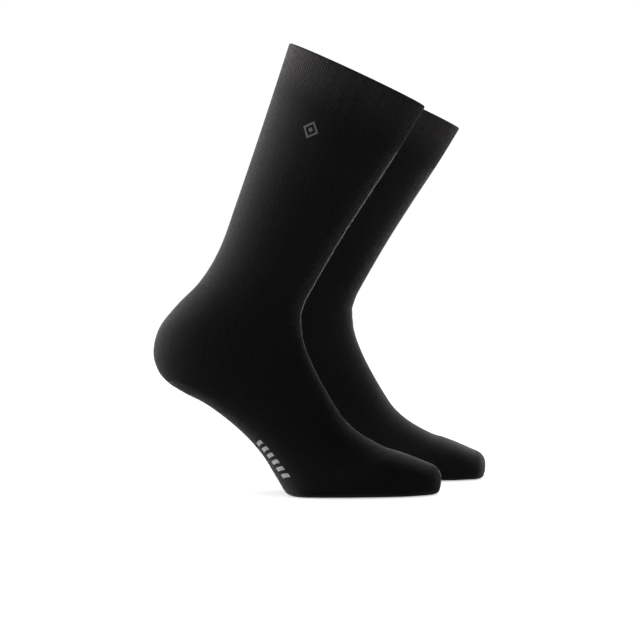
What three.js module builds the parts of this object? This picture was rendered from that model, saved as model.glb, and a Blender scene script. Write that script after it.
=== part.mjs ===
// A pair of plain black mid-calf dress socks, hollow and open at the top, each filled out as it is on a
// foot raised on its toes. The left sock stands a little ahead of the right one and is pulled up a
// little less. Each sock is knitted in five sections: a double cuff, the leg, the heel pocket, the foot
// and the toe.
//
// Millimetres. +X points to the toes, +Y from the right sock to the left one, +Z up. The origin is the
// middle of the right sock's open top, where the wearer's leg goes in.

import * as THREE from "three";

// The knit
const KNIT_WALL = 1.5;
const CUFF_WALL = 2.0; // knitted double
const SEAM_GAP = 0.3; // between one section and the next

// How the pair stands
const TOP_HEIGHT = 301.75; // the right sock's open top, above the floor
const TOP_REACH = 146.75; // the same, ahead of the back of the heel
const STANCE = 147; // from the middle of one sock to the middle of the other
const STRIDE = 38.5; // the left sock stands this far ahead
const LEFT_SLIP = 14.5; // the left sock's top lies this far down its leg
const EDGE_SOFTNESS = 4; // half the height over which the sole rounds up from the floor

// Sections through one sock, from its open top to the tip of its toe. back is the section's point on the
// calf, the heel and then the sole; front is its point on the shin, the instep and then the top of the
// toes. Both are [ahead of the back of the heel, above the floor], and back lies below the floor where
// the sole is pressed flat. half is half the width. belly is where the section is widest, as a share of
// the way from back to front. curve is [for the back half, for the front half], 2 for an ellipse and
// more for a squarer outline. inward is how far the section's middle lies towards the big toe.
const SECTIONS = [
  { back: [98, 324.5], front: [195.5, 279], half: 49, belly: 0.5, curve: [2, 2], inward: 0 },
  { back: [85, 284.5], front: [174, 243.5], half: 45, belly: 0.5, curve: [2, 2], inward: 0 },
  { back: [72.5, 247], front: [152, 210], half: 41, belly: 0.5, curve: [2, 2], inward: 0 },
  { back: [60.5, 212], front: [132, 178.5], half: 36.5, belly: 0.5, curve: [2, 2], inward: 0 },
  { back: [48, 177.5], front: [113.5, 146.5], half: 32.5, belly: 0.5, curve: [2, 2], inward: 0 },
  { back: [34, 154], front: [108.5, 136.5], half: 32.5, belly: 0.5, curve: [2, 2], inward: 0 },
  { back: [17.5, 137], front: [106.5, 129], half: 33.5, belly: 0.48, curve: [2.05, 2], inward: 0 },
  { back: [4.5, 120.5], front: [106.5, 123.5], half: 34.5, belly: 0.46, curve: [2.15, 2], inward: 0 },
  { back: [0, 104], front: [107, 117], half: 35, belly: 0.45, curve: [2.2, 2], inward: 0 },
  { back: [2.5, 91], front: [108, 111], half: 35, belly: 0.45, curve: [2.25, 1.95], inward: 0 },
  { back: [9.5, 81.5], front: [110, 104], half: 35, belly: 0.45, curve: [2.3, 1.95], inward: 0 },
  { back: [21.5, 73.5], front: [113.5, 95.5], half: 34.5, belly: 0.44, curve: [2.3, 1.95], inward: 0 },
  { back: [37, 65.5], front: [117.5, 87], half: 34, belly: 0.42, curve: [2.3, 1.95], inward: 0 },
  { back: [53, 54], front: [123.5, 76], half: 34, belly: 0.4, curve: [2.3, 1.9], inward: 0.5 },
  { back: [67.5, 41], front: [130, 65], half: 35, belly: 0.38, curve: [2.35, 1.9], inward: 1 },
  { back: [79, 27.5], front: [137, 54.5], half: 37.5, belly: 0.37, curve: [2.45, 1.9], inward: 1.5 },
  { back: [88, 13], front: [145, 46.5], half: 41, belly: 0.37, curve: [2.5, 1.95], inward: 2 },
  { back: [99.5, -4], front: [153.5, 40.5], half: 44.5, belly: 0.37, curve: [2.6, 2.05], inward: 2.5 },
  { back: [114, -6], front: [161.5, 36], half: 46, belly: 0.38, curve: [2.7, 2.15], inward: 3 },
  { back: [131.5, -6], front: [169, 32.5], half: 46.5, belly: 0.4, curve: [2.7, 2.3], inward: 3.5 },
  { back: [149.5, -6], front: [176, 30.5], half: 45.5, belly: 0.42, curve: [2.7, 2.3], inward: 4.5 },
  { back: [166, -6], front: [183, 28], half: 43, belly: 0.44, curve: [2.7, 2.3], inward: 5.5 },
  { back: [180.5, -6], front: [190.5, 25], half: 39, belly: 0.46, curve: [2.7, 2.3], inward: 7 },
  { back: [191.5, -5], front: [197.5, 22], half: 33.5, belly: 0.48, curve: [2.6, 2.2], inward: 8 },
  { back: [200, -4.5], front: [203, 18.5], half: 26.5, belly: 0.5, curve: [2.4, 2.1], inward: 9 },
  { back: [205, -1], front: [206, 15], half: 18, belly: 0.5, curve: [2.2, 2], inward: 9.5 },
  { back: [207, 3.5], front: [207.5, 12], half: 9.5, belly: 0.5, curve: [2, 2], inward: 10 },
  { back: [207.8, 7], front: [207.8, 9.5], half: 2.5, belly: 0.5, curve: [2, 2], inward: 10 },
];

// Where the knitted sections meet, counted in rows of the table
const TIP = SECTIONS.length - 1;
const CUFF_LENGTH = 1;
const GORE = 8.6; // the mitre of the heel pocket, from the ankle to the heel's tip
const POCKET_RISE = 3.1; // the pocket reaches this far up the calf
const POCKET_REACH = 3.4; // and this far under the sole
const TOE_TOP = 18;
const TOE_SOLE = 20.5;

// The meshes
const AROUND = 32; // faces round a tube
const POCKET_FROM = 6; // the pocket's corners lie this many of them from the shin
const ROWS = { cuff: 3, leg: 8, heel: 9, foot: 14, toe: 8 };
const SMALL = 1e-3; // the step for slopes, and the shortest edge of a face

const TURN = (2 * Math.PI) / AROUND;
const POCKET_ANGLE = POCKET_FROM * TURN;
const TOP_ROW_LENGTH = Math.hypot(
  SECTIONS[0].back[0] - SECTIONS[1].back[0],
  SECTIONS[0].back[1] - SECTIONS[1].back[1],
);

const columnOf = (read) => SECTIONS.map(read);
const BACK_X = columnOf((row) => row.back[0]);
const BACK_Z = columnOf((row) => row.back[1]);
const FRONT_X = columnOf((row) => row.front[0]);
const FRONT_Z = columnOf((row) => row.front[1]);
const HALF = columnOf((row) => row.half);
const BELLY = columnOf((row) => row.belly);
const BACK_CURVE = columnOf((row) => row.curve[0]);
const FRONT_CURVE = columnOf((row) => row.curve[1]);
const INWARD = columnOf((row) => row.inward);

const mix = (a, b, share) => a + (b - a) * share;
const bend = (value, power) => Math.sign(value) * Math.abs(value) ** power;

// A smooth line through a column of the table, straight beyond its ends.
function along(column, row) {
  const first = Math.min(Math.max(Math.floor(row), 0), TIP - 1);
  const t = row - first;
  const b = column[first];
  const c = column[first + 1];
  const a = first > 0 ? column[first - 1] : 2 * b - c;
  const d = first + 2 <= TIP ? column[first + 2] : 2 * c - b;
  return b + 0.5 * t * (c - a + t * (2 * a - 5 * b + 4 * c - d + t * (3 * (b - c) + d - a)));
}

// The knit lies flat on the floor and rounds up from it at the sole's edge.
function restOnFloor(height) {
  if (height >= EDGE_SOFTNESS) return height;
  if (height <= -EDGE_SOFTNESS) return 0;
  return (height + EDGE_SOFTNESS) ** 2 / (4 * EDGE_SOFTNESS);
}

// The point of the sock's outside at a row of the table and an angle round it, 0 at the shin.
function skin(row, angle, inwardSign) {
  const cos = Math.cos(angle);
  const curve = along(cos < 0 ? BACK_CURVE : FRONT_CURVE, row);
  const belly = along(BELLY, row);
  const forward = bend(cos, 2 / curve);
  const sideways = bend(Math.sin(angle), 2 / curve);
  const share = belly + forward * (cos < 0 ? belly : 1 - belly);
  return new THREE.Vector3(
    mix(along(BACK_X, row), along(FRONT_X, row), share) - TOP_REACH,
    along(HALF, row) * sideways + along(INWARD, row) * inwardSign,
    restOnFloor(mix(along(BACK_Z, row), along(FRONT_Z, row), share)) - TOP_HEIGHT,
  );
}

function slopeAlong(row, angle, inwardSign) {
  const before = skin(Math.max(row - SMALL, 0), angle, inwardSign);
  const after = skin(Math.min(row + SMALL, TIP), angle, inwardSign);
  return after.sub(before).divideScalar(Math.min(row + SMALL, TIP) - Math.max(row - SMALL, 0));
}

function outwards(row, angle, inwardSign) {
  const round = skin(row, angle + SMALL, inwardSign).sub(skin(row, angle - SMALL, inwardSign));
  return slopeAlong(row, angle, inwardSign).cross(round).normalize();
}

// Half a seam's gap before or after a row, in rows.
function seam(row, angle, inwardSign, side) {
  return row + (side * SEAM_GAP) / 2 / slopeAlong(row, angle, inwardSign).length();
}

// Where the heel pocket begins and ends at an angle: nothing at the shin, all of it at the back.
function pocketShare(angle) {
  const fromShin = Math.min(angle, 2 * Math.PI - angle);
  const share = (fromShin - POCKET_ANGLE) / (Math.PI - POCKET_ANGLE);
  return share > 0 ? Math.sin((share * Math.PI) / 2) : 0;
}
const pocketTop = (angle) => GORE - POCKET_RISE * pocketShare(angle);
const pocketEnd = (angle) => GORE + POCKET_REACH * pocketShare(angle);
const toeLine = (angle) => mix(TOE_TOP, TOE_SOLE, (1 - Math.cos(angle)) / 2);

// A closed wall from two grids of points, its outside and its inside, with faces over both and round
// their first and last rows. Each four points are split along their shorter diagonal, and faces with no
// area are left out, so a row or column may shrink to a point.
function closedWall(outside, inside) {
  const points = [];
  const face = (a, b, c) => {
    if (a.distanceTo(b) > SMALL && b.distanceTo(c) > SMALL && c.distanceTo(a) > SMALL) points.push(a, b, c);
  };
  const quad = (a, b, c, d) => {
    const across = a.distanceTo(c) <= b.distanceTo(d);
    face(a, b, across ? c : d);
    face(across ? a : b, c, d);
  };
  const last = outside.length - 1;
  for (let j = 0; j < outside[0].length - 1; j++) {
    for (let i = 0; i < last; i++) {
      quad(outside[i][j], outside[i + 1][j], outside[i + 1][j + 1], outside[i][j + 1]);
      quad(inside[i][j], inside[i][j + 1], inside[i + 1][j + 1], inside[i + 1][j]);
    }
    quad(outside[0][j], outside[0][j + 1], inside[0][j + 1], inside[0][j]);
    quad(outside[last][j], inside[last][j], inside[last][j + 1], outside[last][j + 1]);
  }
  return new THREE.BufferGeometry().setFromPoints(points);
}

// The wall between two seams, top(angle) and end(angle), for faces first to last round the sock. A mitred
// one comes to a point at its first and last faces, and a closed tip ends in a point at its last row.
function knitted({ top, end, rows, wall, first, last, inwardSign, closedTip, mitred }) {
  const outside = [];
  const inside = [];
  for (let i = 0; i <= rows; i++) {
    outside.push([]);
    inside.push([]);
    for (let j = first; j <= last; j++) {
      const angle = (j % AROUND) * TURN;
      const corner = mitred && (j === first || j === last);
      const row = corner ? GORE : mix(top(angle), end(angle), i / rows);
      const normal = outwards(row, angle, inwardSign);
      const point = skin(row, angle, inwardSign);
      outside[i].push(point);
      inside[i].push(point.clone().addScaledVector(normal, -wall));
    }
  }
  if (closedTip) {
    for (const grid of [outside, inside]) {
      const middle = grid[rows].reduce((sum, p) => sum.add(p), new THREE.Vector3());
      middle.divideScalar(grid[rows].length);
      grid.push(grid[rows].map(() => middle));
    }
  }
  return closedWall(outside, inside);
}

const cuffKnit = new THREE.MeshStandardMaterial({ color: 0x1b1b1d, roughness: 0.9, metalness: 0 });
const plainKnit = new THREE.MeshStandardMaterial({ color: 0x161618, roughness: 0.92, metalness: 0 });
const strongKnit = new THREE.MeshStandardMaterial({ color: 0x1a1a1a, roughness: 0.95, metalness: 0 });

// One sock. slip is how far down the leg its top lies, in rows of the table.
function makeSock(name, inwardSign, slip) {
  const before = (line) => (angle) => seam(line(angle), angle, inwardSign, -1);
  const after = (line) => (angle) => seam(line(angle), angle, inwardSign, 1);
  const cuffLine = () => slip + CUFF_LENGTH;
  const tube = { first: 0, last: AROUND, wall: KNIT_WALL, inwardSign };
  const pocket = { ...tube, first: POCKET_FROM, last: AROUND - POCKET_FROM, mitred: true };

  const sections = {
    cuff: [cuffKnit, { ...tube, top: () => slip, end: before(cuffLine), wall: CUFF_WALL }],
    leg: [plainKnit, { ...tube, top: after(cuffLine), end: before(pocketTop) }],
    heel: [strongKnit, { ...pocket, top: after(pocketTop), end: before(pocketEnd) }],
    foot: [plainKnit, { ...tube, top: after(pocketEnd), end: before(toeLine) }],
    toe: [strongKnit, { ...tube, top: after(toeLine), end: () => TIP, closedTip: true }],
  };

  const sock = new THREE.Group();
  for (const [section, [material, shape]] of Object.entries(sections)) {
    const mesh = new THREE.Mesh(knitted({ ...shape, rows: ROWS[section] }), material);
    mesh.name = `${name}_${section}`;
    sock.add(mesh);
  }
  return sock;
}

const pair = new THREE.Group();
const right = makeSock("right", 1, 0);
const left = makeSock("left", -1, LEFT_SLIP / TOP_ROW_LENGTH);
left.position.set(STRIDE, STANCE, 0);
pair.add(right, left);

export default pair;
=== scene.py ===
# A pair of plain black mid-calf dress socks, filled out as they are on feet raised on their toes.
#
# Metres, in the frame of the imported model: +X points to the toes, +Y from the right sock to the left one
# and +Z up, and the origin is the middle of the right sock's open top. Every piece is knitted on a flat
# grid of stitches and then drawn over the sock's form. All of them are shaped as a right sock's, and the
# left sock's are mirrored and moved to their place.

import math
from collections import namedtuple

import bmesh
import bpy
import numpy as np
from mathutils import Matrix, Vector


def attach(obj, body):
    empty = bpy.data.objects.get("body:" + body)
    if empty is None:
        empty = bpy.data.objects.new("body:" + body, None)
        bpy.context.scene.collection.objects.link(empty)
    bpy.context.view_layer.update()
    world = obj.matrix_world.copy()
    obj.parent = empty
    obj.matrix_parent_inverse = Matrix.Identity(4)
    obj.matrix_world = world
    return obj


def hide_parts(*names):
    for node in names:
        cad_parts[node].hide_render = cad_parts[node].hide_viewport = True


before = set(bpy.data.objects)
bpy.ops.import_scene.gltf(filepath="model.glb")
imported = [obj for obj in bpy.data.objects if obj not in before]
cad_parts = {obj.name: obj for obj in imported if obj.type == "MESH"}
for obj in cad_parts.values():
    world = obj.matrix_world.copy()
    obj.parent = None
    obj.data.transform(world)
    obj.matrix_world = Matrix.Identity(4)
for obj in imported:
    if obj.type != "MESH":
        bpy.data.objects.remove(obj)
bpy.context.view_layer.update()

# How the pair stands
TOP_HEIGHT = 0.30175  # the right sock's open top, above the floor
TOP_REACH = 0.14675  # the same, ahead of the back of the heel
STANCE = 0.147  # from the middle of one sock to the middle of the other
STRIDE = 0.0385  # the left sock stands this far ahead
LEFT_SLIP = 0.0145  # the left sock's top lies this far down its leg
EDGE_SOFTNESS = 0.004  # half the height over which the sole rounds up from the floor
FLOOR = -TOP_HEIGHT

# Sections through one sock, from its open top to the tip of its toe. back is the section's point on the
# calf, the heel and then the sole; front is its point on the shin, the instep and then the top of the
# toes. Both are (ahead of the back of the heel, above the floor). half is half the width. belly is where
# the section is widest, as a share of the way from back to front. curve is (for the back half, for the
# front half), 2 for an ellipse and more for a squarer outline. inward is how far the section's middle
# lies towards the big toe.
Section = namedtuple("Section", "back front half belly curve inward")
SECTIONS = [
    Section(*measures)
    for measures in (
        ((0.098, 0.3245), (0.1955, 0.279), 0.049, 0.5, (2, 2), 0),
        ((0.085, 0.2845), (0.174, 0.2435), 0.045, 0.5, (2, 2), 0),
        ((0.0725, 0.247), (0.152, 0.21), 0.041, 0.5, (2, 2), 0),
        ((0.0605, 0.212), (0.132, 0.1785), 0.0365, 0.5, (2, 2), 0),
        ((0.048, 0.1775), (0.1135, 0.1465), 0.0325, 0.5, (2, 2), 0),
        ((0.034, 0.154), (0.1085, 0.1365), 0.0325, 0.5, (2, 2), 0),
        ((0.0175, 0.137), (0.1065, 0.129), 0.0335, 0.48, (2.05, 2), 0),
        ((0.0045, 0.1205), (0.1065, 0.1235), 0.0345, 0.46, (2.15, 2), 0),
        ((0, 0.104), (0.107, 0.117), 0.035, 0.45, (2.2, 2), 0),
        ((0.0025, 0.091), (0.108, 0.111), 0.035, 0.45, (2.25, 1.95), 0),
        ((0.0095, 0.0815), (0.11, 0.104), 0.035, 0.45, (2.3, 1.95), 0),
        ((0.0215, 0.0735), (0.1135, 0.0955), 0.0345, 0.44, (2.3, 1.95), 0),
        ((0.037, 0.0655), (0.1175, 0.087), 0.034, 0.42, (2.3, 1.95), 0),
        ((0.053, 0.054), (0.1235, 0.076), 0.034, 0.4, (2.3, 1.9), 0.0005),
        ((0.0675, 0.041), (0.13, 0.065), 0.035, 0.38, (2.35, 1.9), 0.001),
        ((0.079, 0.0275), (0.137, 0.0545), 0.0375, 0.37, (2.45, 1.9), 0.0015),
        ((0.088, 0.013), (0.145, 0.0465), 0.041, 0.37, (2.5, 1.95), 0.002),
        ((0.0995, -0.004), (0.1535, 0.0405), 0.0445, 0.37, (2.6, 2.05), 0.0025),
        ((0.114, -0.006), (0.1615, 0.036), 0.046, 0.38, (2.7, 2.15), 0.003),
        ((0.1315, -0.006), (0.169, 0.0325), 0.0465, 0.4, (2.7, 2.3), 0.0035),
        ((0.1495, -0.006), (0.176, 0.0305), 0.0455, 0.42, (2.7, 2.3), 0.0045),
        ((0.166, -0.006), (0.183, 0.028), 0.043, 0.44, (2.7, 2.3), 0.0055),
        ((0.1805, -0.006), (0.1905, 0.025), 0.039, 0.46, (2.7, 2.3), 0.007),
        ((0.1915, -0.005), (0.1975, 0.022), 0.0335, 0.48, (2.6, 2.2), 0.008),
        ((0.2, -0.0045), (0.2034, 0.0194), 0.0265, 0.5, (2.4, 2.1), 0.009),
        ((0.205, -0.001), (0.2066, 0.0161), 0.018, 0.5, (2.2, 2), 0.0095),
        ((0.207, 0.0035), (0.2077, 0.0126), 0.0095, 0.5, (2, 2), 0.01),
        ((0.2078, 0.007), (0.2078, 0.0095), 0.0025, 0.5, (2, 2), 0.01),
    )
]
TIP = len(SECTIONS) - 1
BACK_X, BACK_Z = np.array([section.back for section in SECTIONS]).T
FRONT_X, FRONT_Z = np.array([section.front for section in SECTIONS]).T
BACK_CURVE, FRONT_CURVE = np.array([section.curve for section in SECTIONS]).T
HALF, BELLY, INWARD = np.array([(section.half, section.belly, section.inward) for section in SECTIONS]).T

# Where the knitted pieces meet, counted in rows of the table
CUFF_LENGTH = 1
GORE = 8.6  # the mitre of the heel pocket, from the ankle to the heel's tip
POCKET_RISE = 3.1  # the pocket reaches this far up the calf
POCKET_REACH = 3.4  # and this far under the sole
TOE_TOP = 18
TOE_SOLE = 20.5

# The knit
WALES = 208  # columns of stitches round the sock, one for each needle
WALE_ANGLE = 2 * math.pi / WALES
COURSE = 0.00092  # the height of a row of stitches
KNIT = 0.0011  # the thickness of the plain knit
POCKET_WALES = (39, 169)  # the heel pocket is knitted between these, counted from the shin
POCKET_ANGLE = POCKET_WALES[0] * WALE_ANGLE
STITCH_MAP = "stitches"  # the map that holds each stitch's count

# The two socks. slip is how far down the table a sock's open top lies.
Sock = namedtuple("Sock", "name slip mirrored place")
TOP_ROW_LENGTH = math.dist(SECTIONS[0].back, SECTIONS[1].back)
SOCKS = [
    Sock("right", slip=0, mirrored=False, place=Vector((0, 0, 0))),
    Sock("left", slip=LEFT_SLIP / TOP_ROW_LENGTH, mirrored=True, place=Vector((STRIDE, STANCE, 0))),
]


def mix(a, b, share):
    return a + (b - a) * share


def bend(values, power):
    return np.sign(values) * np.abs(values) ** power


def smooth_step(low, high, values):
    t = np.clip((values - low) / (high - low), 0, 1)
    return t * t * (3 - 2 * t)


def along(measure, rows):
    """A smooth line through a measure of the sections, straight beyond its ends."""
    ends = np.concatenate(([2 * measure[0] - measure[1]], measure, [2 * measure[-1] - measure[-2]]))
    first = np.clip(np.floor(rows).astype(int), 0, TIP - 1)
    t = rows - first
    a, b, c, d = (ends[first + i] for i in range(4))
    return b + 0.5 * t * (c - a + t * (2 * a - 5 * b + 4 * c - d + t * (3 * (b - c) + d - a)))


def rest_on_floor(height):
    """The knit lies flat on the floor and rounds up from it at the sole's edge."""
    rounding = (height + EDGE_SOFTNESS) ** 2 / (4 * EDGE_SOFTNESS)
    return np.where(height >= EDGE_SOFTNESS, height, np.where(height <= -EDGE_SOFTNESS, 0, rounding))


def roundness(rows, angles):
    """The power that gives a section its outline, 1 for an ellipse."""
    return 2 / np.where(np.cos(angles) < 0, along(BACK_CURVE, rows), along(FRONT_CURVE, rows))


def skin(rows, angles):
    """Points of the form, at rows of the table and angles round it, 0 at the shin."""
    cos = np.cos(angles)
    power = roundness(rows, angles)
    belly = along(BELLY, rows)
    share = belly + bend(cos, power) * np.where(cos < 0, belly, 1 - belly)
    return np.stack(
        [
            mix(along(BACK_X, rows), along(FRONT_X, rows), share) - TOP_REACH,
            along(HALF, rows) * bend(np.sin(angles), power) + along(INWARD, rows),
            rest_on_floor(mix(along(BACK_Z, rows), along(FRONT_Z, rows), share)) - TOP_HEIGHT,
        ],
        axis=-1,
    )


def outwards(rows, angles):
    """The form's outward directions."""
    step = 1e-4
    down = skin(np.minimum(rows + step, TIP), angles) - skin(np.maximum(rows - step, 0), angles)
    across = skin(rows, angles + step) - skin(rows, angles - step)
    normals = np.cross(down, across)
    return normals / np.linalg.norm(normals, axis=-1, keepdims=True)


def drawn_over(rows, angles, lift):
    """Points that lie lift outside the form, and never below the floor."""
    points = skin(rows, angles) + outwards(rows, angles) * lift[..., None]
    points[..., 2] = np.maximum(points[..., 2], FLOOR)
    return points


def length_down(x, z):
    """The length of a line through the sections, from the open top to each of them."""
    return np.concatenate(([0], np.cumsum(np.hypot(np.diff(x), np.diff(z)))))


BACK_LENGTH = length_down(BACK_X, BACK_Z)
FRONT_LENGTH = length_down(FRONT_X, FRONT_Z)


def frontness(angles):
    """1 at the front, 0 at the back."""
    return (1 + np.cos(angles)) / 2


def courses_at(rows, angles):
    """The count of stitch rows from the top of the table."""
    length = mix(along(BACK_LENGTH, rows), along(FRONT_LENGTH, rows), frontness(angles))
    return length / COURSE


def courses_from(first, rows, angles):
    """The count of stitch rows from another row of the table."""
    return courses_at(rows, angles) - courses_at(np.full_like(rows, first), angles)


def wales_at(angles):
    """The count of stitch columns from the shin."""
    return angles / (2 * math.pi) * WALES


def even_wales_at(rows, angles):
    """The same count, spaced evenly where a section is squarer than an ellipse."""
    power = roundness(rows, angles)
    return wales_at(np.arctan2(bend(np.sin(angles), power), bend(np.cos(angles), power)) % (2 * math.pi))


def pocket_share(angles):
    """How far open the heel pocket is: nothing at its mitred corners, all of it at the back."""
    from_shin = np.minimum(angles, 2 * math.pi - angles)
    share = np.maximum((from_shin - POCKET_ANGLE) / (math.pi - POCKET_ANGLE), 0)
    return np.sin(share * math.pi / 2)


def pocket_top(angles):
    return GORE - POCKET_RISE * pocket_share(angles)


def pocket_end(angles):
    return GORE + POCKET_REACH * pocket_share(angles)


def toe_line(angles):
    return mix(TOE_SOLE, TOE_TOP, frontness(angles))


# Soft creases, each a trough across the knit, or a ridge where depth is below nothing. (row, wale) is
# its middle, wales and rows are half its length and half its width, lean turns it, in rows for each
# wale, and depth is inwards.
Crease = namedtuple("Crease", "row wale wales rows lean depth")
CREASES = [
    Crease(row=6.1, wale=16, wales=34, rows=0.5, lean=0.006, depth=0.0005),
    Crease(row=7.2, wale=-13, wales=30, rows=0.5, lean=-0.005, depth=0.0004),
    Crease(row=8.6, wale=10, wales=26, rows=0.7, lean=0.008, depth=0.0003),
    Crease(row=5.6, wale=150, wales=20, rows=0.4, lean=0.012, depth=0.0005),
    Crease(row=5.2, wale=64, wales=22, rows=0.45, lean=-0.014, depth=0.0005),
    Crease(row=6.4, wale=136, wales=15, rows=0.35, lean=0.016, depth=-0.0003),
    Crease(row=6.2, wale=74, wales=14, rows=0.4, lean=-0.012, depth=-0.0003),
    Crease(row=12.5, wale=160, wales=24, rows=0.7, lean=-0.01, depth=0.0004),
    Crease(row=13.2, wale=52, wales=20, rows=0.8, lean=0.013, depth=0.0004),
]
CREASE_FALL = 2  # how fast a crease runs out towards its ends and sides


def creases(rows, angles):
    """How far the creases lift the knit."""
    lift = np.zeros_like(rows)
    for crease in CREASES:
        off = (wales_at(angles) - crease.wale + WALES / 2) % WALES - WALES / 2
        across = (rows - crease.row - crease.lean * off) / crease.rows
        lift -= crease.depth * np.exp(-CREASE_FALL * ((off / crease.wales) ** 2 + across**2))
    return lift


def knit_on_grid(mesh, corners, place, stitches):
    """Adds a flat grid of columns by rows, notes each corner's count of stitches in its map, and draws
    it into shape. place and stitches take the shares of the way across and down."""
    start = len(mesh.verts)
    bmesh.ops.create_grid(mesh, x_segments=corners[0], y_segments=corners[1], size=0.5)
    mesh.verts.ensure_lookup_table()
    grid = mesh.verts[start:]
    across, down = np.array([vert.co.xy[:] for vert in grid]).T + 0.5
    counted = np.stack(stitches(across, down), axis=-1).tolist()
    uv = mesh.loops.layers.uv[STITCH_MAP]
    mesh.verts.index_update()
    for face in mesh.faces:
        for loop in face.loops:
            if loop.vert.index >= start:
                loop[uv].uv = counted[loop.vert.index - start]
    for vert, point in zip(grid, place(across, down).tolist()):
        vert.co = point


def knit_tube(mesh, top, end, corners, wales=(0, WALES), raised=None, even=False, first=0.0):
    """A stretch of tube or pocket between two lines round the sock, each a row of the table by angle.
    raised lifts some of it, even spaces its wales evenly, and its courses are counted from row first."""

    def spots(across, down):
        angles = mix(*wales, across) * WALE_ANGLE
        return mix(top(angles), end(angles), down), angles

    def place(across, down):
        rows, angles = spots(across, down)
        lift = creases(rows, angles)
        if raised:
            lift = lift + raised(rows, angles)
        return drawn_over(rows, angles, lift)

    def stitches(across, down):
        rows, angles = spots(across, down)
        count = even_wales_at(rows, angles) if even else wales_at(angles)
        return count, courses_from(first, rows, angles)

    knit_on_grid(mesh, corners, place, stitches)


TUBE_CORNERS = 208  # columns of faces round a tube
LEG_ROWS = 90
FOOT_ROWS = 84


def knit_leg(mesh, sock):
    """The plain tube from the cuff to the ankle and the top of the heel pocket."""

    def cuff_end(angles):
        return np.full_like(angles, sock.slip + CUFF_LENGTH)

    knit_tube(mesh, cuff_end, pocket_top, (TUBE_CORNERS, LEG_ROWS), first=sock.slip)


def knit_foot(mesh, sock):
    """The plain tube round the instep and the sole."""
    knit_tube(mesh, pocket_end, toe_line, (TUBE_CORNERS, FOOT_ROWS))


HEEL_CORNERS = (130, 100)  # columns and rows of faces
MITRE_RAISED = 0.0001
MITRE_WIDTH = 0.09  # in rows of the table
MITRE_SHARE = (0.35, 0.8)  # the raised line fades out this far from its corners to the back


def mitre(rows, angles):
    """The line of picked-up stitches where the two halves of the pocket meet."""
    fade = 1 - smooth_step(*MITRE_SHARE, pocket_share(angles))
    return MITRE_RAISED * fade * np.exp(-(((rows - GORE) / MITRE_WIDTH) ** 2))


def knit_heel(mesh, sock):
    """The pocket, knitted to and fro on the wales behind the ankle and mitred at both sides."""
    knit_tube(mesh, pocket_top, pocket_end, HEEL_CORNERS, POCKET_WALES, mitre, even=True)


TOE_CORNERS = (90, 44)  # columns and rows of faces, of the top and of the sole
TOE_CLOSES = 0.93  # the share of the toe's rows before it closes to a point at the tip
TOE_WALE = 0.00125  # the width of a stitch
ARC_STEPS = 12


def knit_toe(mesh, sock):
    """The cap, with a top and a sole whose wales run along the foot and end at a mitre on both sides."""
    tip = skin(np.full(2, float(TIP)), np.array([0.0, math.pi])).mean(axis=0)
    for middle in (0, math.pi):

        def spots(across, down):
            angles = middle + (across - 0.5) * math.pi
            return mix(toe_line(angles), TIP, np.minimum(down / TOE_CLOSES, 1)), angles

        def place(across, down):
            rows, angles = spots(across, down)
            points = drawn_over(rows, angles, creases(rows, angles))
            closed = np.maximum(down - TOE_CLOSES, 0) / (1 - TOE_CLOSES)
            return mix(points, tip, closed[:, None])

        def stitches(across, down):
            rows, angles = spots(across, down)
            steps = [skin(rows, mix(middle, angles, step / ARC_STEPS)) for step in range(ARC_STEPS + 1)]
            arc = sum(np.linalg.norm(b - a, axis=-1) for a, b in zip(steps, steps[1:]))
            return np.sign(angles - middle) * arc / TOE_WALE, courses_at(rows, angles)

        knit_on_grid(mesh, TOE_CORNERS, place, stitches)


CUFF_WALL = 0.002
CUFF_HEIGHT = 0.042
CUFF_ROWS = 34
CUFF_BENDS = (0.5, 0.64, 0.94)  # where the outside ends, the turn ends and the inside ends, going down
RIBS = 156
RIB_CORNERS = 5  # columns of faces for each rib
RIB_DEPTH = 0.0002
RIBS_FADE = (0.86, 1)  # the ribs run out here, as shares of the cuff's length


def cuff_profile(down):
    """The way up the cuff's outside, over its turned top, down its inside and back under its hem: how
    far each point lies below the top, as a share of the cuff, and how far inside the outer face."""
    outside, turned, inside = CUFF_BENDS
    turn = CUFF_WALL / 2
    rounding = math.pi * np.clip((down - outside) / (turned - outside), 0, 1)
    edge = turn / CUFF_HEIGHT
    below = mix(1, edge, np.clip(down / outside, 0, 1)) - edge * np.sin(rounding)
    below += (1 - edge) * np.clip((down - turned) / (inside - turned), 0, 1)
    hem = np.clip((down - inside) / (1 - inside), 0, 1)
    return below, turn * (1 - np.cos(rounding)) * (1 - hem)


def knit_cuff(mesh, sock):
    """The band at the top: ribs knitted double, turned over at the top and hemmed down inside."""

    def spots(across, down):
        below, depth = cuff_profile(down)
        return sock.slip + CUFF_LENGTH * below, across * 2 * math.pi, depth, below

    def place(across, down):
        rows, angles, depth, below = spots(across, down)
        rib = (1 - np.cos(angles * RIBS)) / 2 * (1 - smooth_step(*RIBS_FADE, below))
        way = 1 - 2 * np.clip(depth / CUFF_WALL, 0, 1)
        return drawn_over(rows, angles, -depth - RIB_DEPTH * rib * way)

    def stitches(across, down):
        rows, angles, depth, below = spots(across, down)
        counted = courses_from(sock.slip, rows, angles)
        return wales_at(angles), np.where(depth < CUFF_WALL / 2, counted, -counted)

    knit_on_grid(mesh, (RIBS * RIB_CORNERS, CUFF_ROWS), place, stitches)


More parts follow.
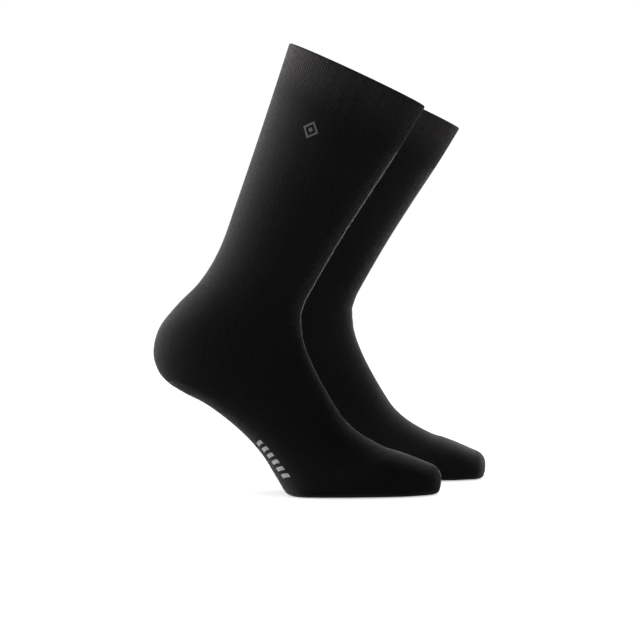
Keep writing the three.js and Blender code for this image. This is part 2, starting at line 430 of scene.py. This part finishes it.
LINK_ROW = 23.6
LINK_BOW = 0.25  # rows that the chain bows towards the tip of the toe at its sides
LINK_ENDS = 58  # degrees each way from the middle of the toe
LINK_RADIUS = 0.0003
LINK_WAIST = 0.75  # a loop narrows to this share where it goes into the next
LINK_WEAVE = 0.00015  # the loops lie this far to either side
LINK_SUNK = 0.00016  # the chain lies this deep in the knit
LINK_LOOPS = 32
LINK_CORNERS = (LINK_LOOPS * 6, 10)  # columns of faces along the chain, and rows round it


def link_toe(mesh, sock):
    """The linking that closes the toe: a fine chain of loops across its top."""

    def place(across, down):
        angles = np.radians(mix(-LINK_ENDS, LINK_ENDS, across))
        rows = LINK_ROW + LINK_BOW * np.sin(angles) ** 2
        out = outwards(rows, angles)
        middle = skin(rows, angles) - out * LINK_SUNK
        step = 1e-3
        side = np.cross(out, skin(rows, angles + step) - skin(rows, angles))
        side /= np.linalg.norm(side, axis=-1, keepdims=True)
        loops = np.sin(across * LINK_LOOPS * math.pi)
        ends = np.sqrt(np.clip(np.minimum(across, 1 - across) * LINK_LOOPS, 0, 1))
        radius = LINK_RADIUS * ends * mix(LINK_WAIST, 1, np.abs(loops))
        turn = 2 * math.pi * down
        up = out * (radius * np.sin(turn))[:, None]
        return middle + up + side * (radius * np.cos(turn) + LINK_WEAVE * loops)[:, None]

    def stitches(across, down):
        return across * LINK_LOOPS, down * 2

    knit_on_grid(mesh, LINK_CORNERS, place, stitches)


class Yarn:
    """A value at a socket of a finish's nodes. Sums with it add Math nodes."""

    def __init__(self, finish, socket):
        self.finish = finish
        self.socket = socket

    def math(self, operation, *others):
        return self.finish.math(operation, self, *others)

    def __add__(self, other):
        return self.math("ADD", other)

    __radd__ = __add__

    def __sub__(self, other):
        return self.math("SUBTRACT", other)

    def __rsub__(self, other):
        return self.finish.math("SUBTRACT", other, self)

    def __mul__(self, other):
        return self.math("MULTIPLY", other)

    __rmul__ = __mul__

    def __truediv__(self, other):
        return self.math("DIVIDE", other)

    def __lt__(self, other):
        return self.math("LESS_THAN", other)

    def __abs__(self):
        return self.math("ABSOLUTE")


class Finish:
    """A material that is put together from nodes."""

    def __init__(self, name):
        self.material = bpy.data.materials.new(name)
        self.material.use_nodes = True
        self.tree = self.material.node_tree
        self.tree.nodes.clear()

    def node(self, kind, settings=(), sockets=(), output=0):
        """Adds a node, with its settings first and then the values or links of its sockets."""
        node = self.tree.nodes.new("ShaderNode" + kind)
        for name, value in dict(settings).items():
            setattr(node, name, value)
        for name, value in dict(sockets).items():
            if isinstance(value, Yarn):
                self.tree.links.new(value.socket, node.inputs[name])
            else:
                node.inputs[name].default_value = value
        return Yarn(self, node.outputs[output]) if node.outputs else node

    def math(self, operation, *values):
        return self.node("Math", {"operation": operation}, enumerate(values))

    def blend(self, share, a, b):
        """A colour between two colours."""
        return self.node("Mix", {"data_type": "RGBA"}, {0: share, 6: a, 7: b}, output=2)

    def noise(self, where, scale, detail=2.0):
        return self.node("TexNoise", {}, {"Vector": where, "Scale": scale, "Detail": detail})

    def spot(self, across, down):
        return self.node("CombineXYZ", {}, {"X": across, "Y": down})

    def apart(self, vector):
        first = self.node("SeparateXYZ", {}, {"Vector": vector})
        return [Yarn(self, socket) for socket in first.socket.node.outputs]

    def ramp(self, value, low, high, at_low, at_high):
        """A smooth step from one value to another."""
        sockets = {"Value": value, "From Min": low, "From Max": high, "To Min": at_low, "To Max": at_high}
        return self.node("MapRange", {"interpolation_type": "SMOOTHSTEP"}, sockets)

    def place(self):
        """The object's own coordinates."""
        return self.node("TexCoord", output=3)

    def stitch_counts(self):
        """The count of wales and of courses, from the piece's own map."""
        return self.apart(self.node("UVMap", {"uv_map": STITCH_MAP}))[:2]

    def shader(self, sockets):
        return self.node("BsdfPrincipled", {}, sockets)

    def surface(self, shader):
        self.node("OutputMaterial", {}, {"Surface": shader})
        return self.material


BLACK = (0.0015, 0.0015, 0.0015, 1)
BLACK_LIT = (0.0068, 0.0061, 0.0064, 1)
# painted light: the ribbed cuff's yarn is painted far lighter than the plain knit, standing in for the
# light its ribs keep off
RIB_LIT = (0.0180, 0.0162, 0.0171, 1)
MARK_GREY = (0.075, 0.073, 0.072, 1)
SHEEN_TINT = (1.0, 0.95, 0.97, 1)
SHEEN = 0.09
SHEEN_ROUGHNESS = 0.15
GLOSS = 0.015  # of the yarn, which is nearly matt
ROUGHNESS = 0.86
ROUGHNESS_DRIFT = 0.08

# The shape of a stitch
STITCH_LEAN = 0.85  # how steeply its two legs lean, in courses
STITCH_DIP = 0.3  # how high a leg still is at its edges

# What makes the knit lighter, and what raises it: the yarn itself, slow drifts of shade, each needle's
# own tension, loose fibres, and stitches that turn looser and tighter. The yarn's share of the colour is
# painted shade and light: the gaps between the stitch legs are painted darker and their tops lighter
DRIFT_SCALE = 22.0
FUZZ_SCALE = 900.0
UNEVEN_PACE = (0.62, 0.3)  # by the wale and by the course
LIGHTER = {"yarn": 0.36, "drift": 0.3, "needle": 0.06, "fuzz": 0.16, "uneven": 0.5}
HIGHER = {"yarn": 1, "fuzz": 0.5, "needle": 0.25, "uneven": 3.2}

# Painted shade and light, where the knit's colour is made darker: a ramp's two ends, and the share of the
# light that is left at its dark end
# painted shade: the foot is painted darker towards the floor
FOOT_PAINTED_SHADE = (-0.27, -0.1)  # heights
FOOT_SHADE_SHARE = 0.5
# painted light: the cuff is painted lighter towards its open top
CUFF_PAINTED_LIGHT = (0, 46)  # courses from the open top
CUFF_LIGHT_SHARE = 0.32
# painted shade: the turned top edge and the inside are painted darker
TURN_PAINTED_SHADE = (-1, 2)  # courses from the open top, less than nothing inside
TURN_SHADE_SHARE = 0.2

# The ribs of the cuff are drawn flatter between two counts of wales from the back of the calf
RIBS_BLOOM = 0.8
RIBS_SOFTEN = (22, 50)
RIBS_LEAST = 0.15

# The grain of the strengthened knit fades between two counts of wales from the back of the heel
CHECK_WALES = 2
CHECK_COURSES = 4
CHECK_SHARE = 0.3
SPECK_PACE = 1.5  # specks for each wale
SPECKS_BLOOM = 0.9
SPECKS_HIGHER = 1.2
SPECKS_FADE = (18, 46)
SPECKS_LEAST = 0.3


def yarn_of(wales, courses):
    """The height of the yarn in plain knit, 0 to 1: every stitch is two legs that lean together."""
    side = abs(wales.math("FRACT") * 2 - 1)
    leg = ((courses + side * STITCH_LEAN).math("FRACT") * math.pi).math("SINE")
    across = (side * math.pi).math("SINE")
    return leg * (across * (1 - STITCH_DIP) + STITCH_DIP)


def specks_of(finish, wales, courses):
    """The grain of the strengthened knit, about nothing: a fine check with uneven stitches."""
    strength = finish.ramp(abs(wales - WALES / 2), *SPECKS_FADE, 1, SPECKS_LEAST)
    odd_wale = (wales / CHECK_WALES).math("FRACT") < 0.5
    odd_course = (courses / CHECK_COURSES).math("FRACT") < 0.5
    stitch = finish.spot((wales * SPECK_PACE).math("FLOOR"), courses.math("FLOOR"))
    speck = finish.node("TexWhiteNoise", {"noise_dimensions": "2D"}, {"Vector": stitch})
    return (abs(odd_wale - odd_course) * CHECK_SHARE + speck - (CHECK_SHARE + 1) / 2) * strength


def ribs_of(finish, wales):
    """The ribs of the cuff, from -1 in a groove to 1 on a rib."""
    strength = finish.ramp(abs(wales - WALES / 2), *RIBS_SOFTEN, 1, RIBS_LEAST)
    return (wales * (RIBS * WALE_ANGLE)).math("COSINE") * strength


def knit_finish(name, lightest, relief, mark=None, specks=0.0, ribs=0.0, rough=2.0, shine=1.0):
    """Black yarn knitted fine, matt, with a soft bloom of fibres where it turns away."""
    finish = Finish(name)
    wales, courses = finish.stitch_counts()
    where = finish.place()
    uneven_spot = finish.spot(wales * UNEVEN_PACE[0], courses * UNEVEN_PACE[1])
    parts = {
        "yarn": yarn_of(wales, courses),
        "drift": finish.noise(where, DRIFT_SCALE),
        "fuzz": finish.noise(where, FUZZ_SCALE, detail=3.0),
        "needle": finish.node("TexWhiteNoise", {"noise_dimensions": "1D"}, {"W": wales.math("FLOOR")}),
        "uneven": finish.noise(uneven_spot, 1.0, detail=1.0) - 0.5,
    }
    # painted shade: the yarn's share paints the gaps between stitch legs darker and their tops lighter
    light = sum(parts[name] * share for name, share in LIGHTER.items())
    height = sum(parts[name] * share for name, share in HIGHER.items())
    bloom = parts["uneven"] * rough + 0.5
    if specks:
        speck = specks_of(finish, wales, courses)
        light = light + speck * specks
        bloom = bloom + speck * SPECKS_BLOOM
        height = height + speck * SPECKS_HIGHER
    if ribs:
        rib = ribs_of(finish, wales)
        bloom = bloom + rib * RIBS_BLOOM
        # painted shade: the grooves between the ribs are painted darker and the ribs lighter
        light = light + rib * (parts["uneven"] + 0.5) * ribs
        # painted light: the cuff is painted lighter towards its open top
        light = light * finish.ramp(courses, *CUFF_PAINTED_LIGHT, 1, CUFF_LIGHT_SHARE)
        # painted shade: the turned top edge and the inside are painted darker
        light = light * finish.ramp(courses, *TURN_PAINTED_SHADE, TURN_SHADE_SHARE, 1)
    else:
        # painted shade: the foot is painted darker towards the floor
        light = light * finish.ramp(finish.apart(where)[2], *FOOT_PAINTED_SHADE, FOOT_SHADE_SHARE, 1)
    colour = finish.blend(light, BLACK, lightest)
    if mark:
        colour = finish.blend(mark(wales, courses), colour, MARK_GREY)
    matt = {
        "Base Color": colour,
        "Roughness": ROUGHNESS + parts["drift"] * ROUGHNESS_DRIFT,
        "Specular IOR Level": GLOSS,
        "Normal": finish.node("Bump", {}, {"Strength": 1.0, "Distance": relief, "Height": height}),
    }
    soft = {"Sheen Weight": SHEEN * shine, "Sheen Roughness": SHEEN_ROUGHNESS, "Sheen Tint": SHEEN_TINT}
    both = finish.node("MixShader", {}, {0: bloom, 1: finish.shader(matt), 2: finish.shader(matt | soft)})
    return finish.surface(both)


DIAMOND_AT = (146.5, 55.5)  # (wale, course) of its middle
DIAMOND_SIZE = (4.2, 7.2)
DIAMOND_OUTLINE = 0.7  # it is pale from here out to its edge, as a share of the way from its middle
DIAMOND_HEART = 0.3  # and pale again inside this
DIAMOND_SHARE = 0.5


def diamond(wales, courses):
    """A small diamond of pale stitches on the outer side, below the cuff."""
    across = abs(wales - DIAMOND_AT[0]) / DIAMOND_SIZE[0]
    down = abs(courses - DIAMOND_AT[1]) / DIAMOND_SIZE[1]
    out = across + down
    return ((out < 1) - (out < DIAMOND_OUTLINE) + (out < DIAMOND_HEART)) * DIAMOND_SHARE


BARS_START = (127.7, 362)  # (wale, course) where the row of bars starts
BARS_DRIFT = 0.17  # the row leaves its wale by this much for each course
BAR_LEAN = 1.25  # courses that a bar falls back for each wale
BAR_COUNT = 6
BAR_PITCH = 6.2
BAR_SHARE = 0.52
BAR_HALF = 5.3


def bars(wales, courses):
    """A row of short pale bars along the outer edge of the sole."""
    onwards = courses - BARS_START[1] + (wales - BARS_START[0]) * BAR_LEAN
    across = wales - BARS_START[0] - onwards * BARS_DRIFT
    length = BAR_PITCH * BAR_COUNT
    inside = (abs(onwards - length / 2) < length / 2) * (abs(across) < BAR_HALF)
    return inside * ((onwards / BAR_PITCH).math("FRACT") < BAR_SHARE)


ribbed = knit_finish("black ribbed knit", RIB_LIT, relief=0.0001, ribs=0.7, rough=2.5, shine=1.3)
plain = knit_finish("black plain knit", BLACK_LIT, relief=0.00015, mark=diamond)
marked = knit_finish("black sole knit", BLACK_LIT, relief=0.00008, mark=bars)
strong = knit_finish("black strengthened knit", BLACK_LIT, relief=0.00007, specks=0.35)
linking = knit_finish("black linking thread", BLACK_LIT, relief=0.00008)

WELD = 1e-6
SHARPEST = math.radians(60)


def piece_from(mesh, name):
    """Turns worked mesh into an object at the origin, smooth but for its open edges."""
    for face in mesh.faces:
        face.smooth = True
    for edge in mesh.edges:
        edge.smooth = edge.is_manifold and edge.calc_face_angle() < SHARPEST
    data = bpy.data.meshes.new(name)
    mesh.to_mesh(data)
    mesh.free()
    made = bpy.data.objects.new(name, data)
    bpy.context.scene.collection.objects.link(made)
    return made


def knit_piece(sock, section, knit, finish, wall):
    """Knits a section, welds it, and gives it its place, its thickness and its finish."""
    mesh = bmesh.new()
    mesh.loops.layers.uv.new(STITCH_MAP)
    knit(mesh, sock)
    bmesh.ops.remove_doubles(mesh, verts=mesh.verts, dist=WELD)
    if sock.mirrored:
        bmesh.ops.scale(mesh, vec=(1, -1, 1), verts=mesh.verts)
        bmesh.ops.translate(mesh, vec=sock.place, verts=mesh.verts)
    bmesh.ops.recalc_face_normals(mesh, faces=mesh.faces)
    piece = piece_from(mesh, f"{sock.name}_{section}_knit")
    piece.data.materials.append(finish)
    if wall:
        thickness = piece.modifiers.new("thickness", "SOLIDIFY")
        thickness.thickness = wall
        thickness.offset = -1
        thickness.use_even_offset = True
    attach(piece, "root")
    return piece


# The photograph's view
LENS = 179.7
SENSOR = 36
CAMERA_AT = (-0.0268, -2.3, -0.0899)
AIMED_AT = (-0.0268, 0, -0.1762)

# The white studio
WORLD_LIGHT = 1.02
FLOOR_SIZE = 30
FLOOR_CLEAR = 0.0002
FLOOR_GRAIN = 40.0
FLOOR_ROUGHNESS = 0.9
FLOOR_WHITE = (0.97, 0.97, 0.97, 1)
WHITE = (1, 1, 1, 1)

# The lamps stand round the middle of the pair. bearing is in degrees from +X towards +Y, up is how many
# degrees above level, and on is what the lamp lights: the right sock, the left one, both or the floor.
# From the toes' side each sock is lit on its own, so that neither keeps the other's light off.
Lamp = namedtuple("Lamp", "name bearing up size watts on")
LAMPS = [
    Lamp("left", 180, 15, (0.9, 0.9), 95, "both"),
    Lamp("left and behind", 155, 15, (0.9, 0.9), 190, "both"),
    Lamp("behind", 130, 15, (0.9, 0.9), 66, "both"),
    Lamp("low on the left", 200, 1, (0.9, 0.36), 15, "both"),
    Lamp("right", 32, 8, (0.9, 0.6), 36, "left"),
    Lamp("right and behind", 60, 8, (0.9, 0.9), 78, "left"),
    Lamp("high on the right", 50, 50, (0.9, 0.9), 16, "left"),
    Lamp("front right", 300, 20, (0.9, 0.9), 20, "left"),
    Lamp("off the floor behind", 91, -10, (0.9, 0.25), 95, "right"),
    Lamp("soft on the instep", 75, 25, (0.9, 0.9), 27, "right"),
    Lamp("over the floor", 270, 88, (3, 3), 36, "floor"),
]
LAMP_MIDDLE = (0, 0.07, -0.13)
LAMP_DISTANCE = 1.7


def stand_camera():
    """The camera, where the photograph's was."""
    camera = bpy.data.objects.new("camera", bpy.data.cameras.new("camera"))
    camera.data.lens = LENS
    camera.data.sensor_width = SENSOR
    camera.location = CAMERA_AT
    camera.rotation_euler = (Vector(AIMED_AT) - Vector(CAMERA_AT)).to_track_quat("-Z", "Y").to_euler()
    bpy.context.scene.collection.objects.link(camera)
    bpy.context.scene.camera = camera


def white_studio():
    """The even light all round, and the floor."""
    world = bpy.data.worlds.new("white studio")
    world.use_nodes = True
    world.node_tree.nodes["Background"].inputs["Color"].default_value = WHITE
    world.node_tree.nodes["Background"].inputs["Strength"].default_value = WORLD_LIGHT
    bpy.context.scene.world = world
    bpy.context.scene.view_settings.view_transform = "Standard"
    bpy.context.scene.view_settings.look = "None"

    mesh = bmesh.new()
    bmesh.ops.create_grid(mesh, x_segments=1, y_segments=1, size=FLOOR_SIZE)
    bmesh.ops.translate(mesh, vec=(0, 0, FLOOR - FLOOR_CLEAR), verts=mesh.verts)
    floor = piece_from(mesh, "floor")
    white = Finish("white floor")
    shade = white.blend(white.noise(white.place(), FLOOR_GRAIN), FLOOR_WHITE, WHITE)
    floor.data.materials.append(
        white.surface(white.shader({"Base Color": shade, "Roughness": FLOOR_ROUGHNESS}))
    )
    return floor


def hang_lamps(floor, pieces):
    """The lamps, each set to what it lights."""
    lit = {name: bpy.data.collections.new(name) for name in ("floor", "both", "right", "left")}
    lit["floor"].objects.link(floor)
    for piece in pieces:
        lit["both"].objects.link(piece)
        lit[piece.name.split("_")[0]].objects.link(piece)
    for lamp in LAMPS:
        light = bpy.data.lights.new(lamp.name, "AREA")
        light.shape = "RECTANGLE"
        light.size, light.size_y = lamp.size
        light.energy = lamp.watts
        holder = bpy.data.objects.new(lamp.name, light)
        bearing, up = math.radians(lamp.bearing), math.radians(lamp.up)
        way = (math.cos(up) * math.cos(bearing), math.cos(up) * math.sin(bearing), math.sin(up))
        away = Vector(way) * LAMP_DISTANCE
        holder.location = Vector(LAMP_MIDDLE) + away
        holder.rotation_euler = (-away).to_track_quat("-Z", "Y").to_euler()
        holder.light_linking.receiver_collection = lit[lamp.on]
        if lamp.on != "both":
            holder.light_linking.blocker_collection = lit[lamp.on]
        bpy.context.scene.collection.objects.link(holder)


# The pieces of one sock. flat is the whole cut, as width by length, and area is the cut's where it isn't
# a rectangle. The cuff's wall is knitted with it.
Part = namedtuple("Part", "knit finish slot wall flat area")
PARTS = {
    "cuff": Part(knit_cuff, ribbed, "ribbed_knit", wall=None, flat=(0.2, 0.05), area=None),
    "leg": Part(knit_leg, plain, "plain_knit", wall=KNIT, flat=(0.19, 0.17), area=0.0295),
    "heel": Part(knit_heel, strong, "strong_knit", wall=KNIT, flat=(0.12, 0.085), area=0.0069),
    "foot": Part(knit_foot, marked, "plain_knit", wall=KNIT, flat=(0.19, 0.15), area=0.0235),
    "toe": Part(knit_toe, strong, "strong_knit", wall=KNIT, flat=(0.095, 0.11), area=0.0078),
}

pieces = []
for sock in SOCKS:
    for section, part in PARTS.items():
        piece = knit_piece(sock, section, part.knit, part.finish, part.wall)
        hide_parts(f"{sock.name}_{section}")
        pieces.append(piece)
    seam = knit_piece(sock, "toe_seam", link_toe, linking, None)
    pieces.append(seam)

stand_camera()
hang_lamps(white_studio(), pieces)
